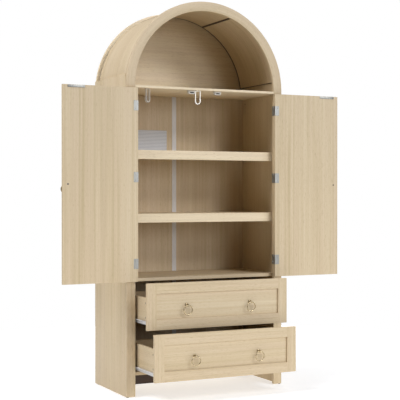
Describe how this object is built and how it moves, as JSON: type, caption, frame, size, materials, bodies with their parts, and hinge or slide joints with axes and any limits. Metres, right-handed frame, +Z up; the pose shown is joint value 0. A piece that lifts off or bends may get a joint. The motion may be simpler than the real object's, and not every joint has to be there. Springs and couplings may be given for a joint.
{
  "type": "armoire",
  "caption": "Tall light-oak armoire with a round-topped open niche, hinged doors over shelf bays with hanging loops, and framed drawers on roller runners with brass ring pulls.",
  "frame": {"origin": "on the floor, on the middle line of the width, midway between the foremost drawer pull and the rear edge with the lower drawer out as modelled", "axes": "+Z up; the doors and drawers face -Y; +X is to the right of somebody facing them"},
  "size_m": [1.4092, 0.6244, 1.8],
  "materials": {
    "oak_face": "matt printed light-oak laminate on board",
    "oak_side": "matt printed light-oak laminate, upright grain",
    "oak_inside": "matt printed light-oak laminate",
    "drawer_board": "matt foil-wrapped drawer board",
    "runner_metal": "white powder-coated steel",
    "nickel": "satin nickel-plated steel",
    "brass": "satin brass",
    "joiner_plastic": "pale grey extruded strip",
    "catch_plastic": "white moulded plastic"
  },
  "bodies": {
    "carcass": {"arch_front": "oak_face", "arch_rear": "oak_side", "back_joiner_strip": "joiner_plastic", "back_panel_left": "oak_inside", "back_panel_right": "oak_inside", "bottom_board": "oak_inside", "cabinet_deck": "oak_inside", "cabinet_runner_lower_left": "runner_metal", "cabinet_runner_lower_right": "runner_metal", "cabinet_runner_upper_left": "runner_metal", "cabinet_runner_upper_right": "runner_metal", "hanging_loop_left": "nickel", "hanging_loop_middle": "nickel", "hinge_frame_leaf_left_bottom": "nickel", "hinge_frame_leaf_left_middle": "nickel", "hinge_frame_leaf_left_top": "nickel", "hinge_frame_leaf_right_bottom": "nickel", "hinge_frame_leaf_right_middle": "nickel", "hinge_frame_leaf_right_top": "nickel", "kick_rail": "oak_inside", "magnetic_catch_left": "catch_plastic", "magnetic_catch_right": "catch_plastic", "niche_floor": "oak_face", "shelf_lower": "oak_face", "shelf_upper": "oak_face", "shell_left": "oak_side", "shell_right": "oak_side", "shell_top": "oak_side", "side_panel_left": "oak_side", "side_panel_right": "oak_side", "stile_left": "oak_face", "stile_right": "oak_face"},
    "left_door": {"door_left": "oak_face", "hinge_door_leaf_left_bottom": "nickel", "hinge_door_leaf_left_middle": "nickel", "hinge_door_leaf_left_top": "nickel"},
    "right_door": {"door_right": "oak_face", "hinge_door_leaf_right_bottom": "nickel", "hinge_door_leaf_right_middle": "nickel", "hinge_door_leaf_right_top": "nickel"},
    "upper_drawer": {"drawer_back_upper": "drawer_board", "drawer_bottom_upper": "drawer_board", "drawer_front_upper": "oak_face", "drawer_runner_upper_left": "runner_metal", "drawer_runner_upper_right": "runner_metal", "drawer_side_upper_left": "drawer_board", "drawer_side_upper_right": "drawer_board"},
    "lower_drawer": {"drawer_back_lower": "drawer_board", "drawer_bottom_lower": "drawer_board", "drawer_front_lower": "oak_face", "drawer_runner_lower_left": "runner_metal", "drawer_runner_lower_right": "runner_metal", "drawer_side_lower_left": "drawer_board", "drawer_side_lower_right": "drawer_board"},
    "ring_door_left": {"pull_ring_door_left": "brass"},
    "ring_door_right": {"pull_ring_door_right": "brass"},
    "ring_upper_left": {"pull_ring_upper_left": "brass"},
    "ring_upper_right": {"pull_ring_upper_right": "brass"},
    "ring_lower_left": {"pull_ring_lower_left": "brass"},
    "ring_lower_right": {"pull_ring_lower_right": "brass"}
  },
  "joints": [
    {"name": "left_door_hinge", "type": "hinge", "parent": "carcass", "child": "left_door", "pos_m": [-0.3533, -0.09105, 0.95325], "axis": [0, 0, 1], "range_deg": [0, 180]},
    {"name": "right_door_hinge", "type": "hinge", "parent": "carcass", "child": "right_door", "pos_m": [0.3533, -0.09105, 0.95325], "axis": [0, 0, -1], "range_deg": [0, 180]},
    {"name": "upper_drawer_slide", "type": "slide", "parent": "carcass", "child": "upper_drawer", "axis": [0, -1, 0], "range_m": [-0.1265, 0.1235]},
    {"name": "lower_drawer_slide", "type": "slide", "parent": "carcass", "child": "lower_drawer", "axis": [0, -1, 0], "range_m": [-0.209, 0.041]},
    {"name": "ring_swing_door_left", "type": "hinge", "parent": "left_door", "child": "ring_door_left", "pos_m": [-0.681, -0.07935, 0.95525], "axis": [1, 0, 0], "range_deg": [-14, 160]},
    {"name": "ring_swing_door_right", "type": "hinge", "parent": "right_door", "child": "ring_door_right", "pos_m": [0.681, -0.07935, 0.95525], "axis": [1, 0, 0], "range_deg": [-14, 160]},
    {"name": "ring_swing_upper_left", "type": "hinge", "parent": "upper_drawer", "child": "ring_upper_left", "pos_m": [-0.16, -0.22425, 0.4175], "axis": [1, 0, 0], "range_deg": [-160, 14]},
    {"name": "ring_swing_upper_right", "type": "hinge", "parent": "upper_drawer", "child": "ring_upper_right", "pos_m": [0.16, -0.22425, 0.4175], "axis": [1, 0, 0], "range_deg": [-160, 14]},
    {"name": "ring_swing_lower_left", "type": "hinge", "parent": "lower_drawer", "child": "ring_lower_left", "pos_m": [-0.16, -0.30675, 0.2015], "axis": [1, 0, 0], "range_deg": [-160, 14]},
    {"name": "ring_swing_lower_right", "type": "hinge", "parent": "lower_drawer", "child": "ring_lower_right", "pos_m": [0.16, -0.30675, 0.2015], "axis": [1, 0, 0], "range_deg": [-160, 14]}
  ]
}
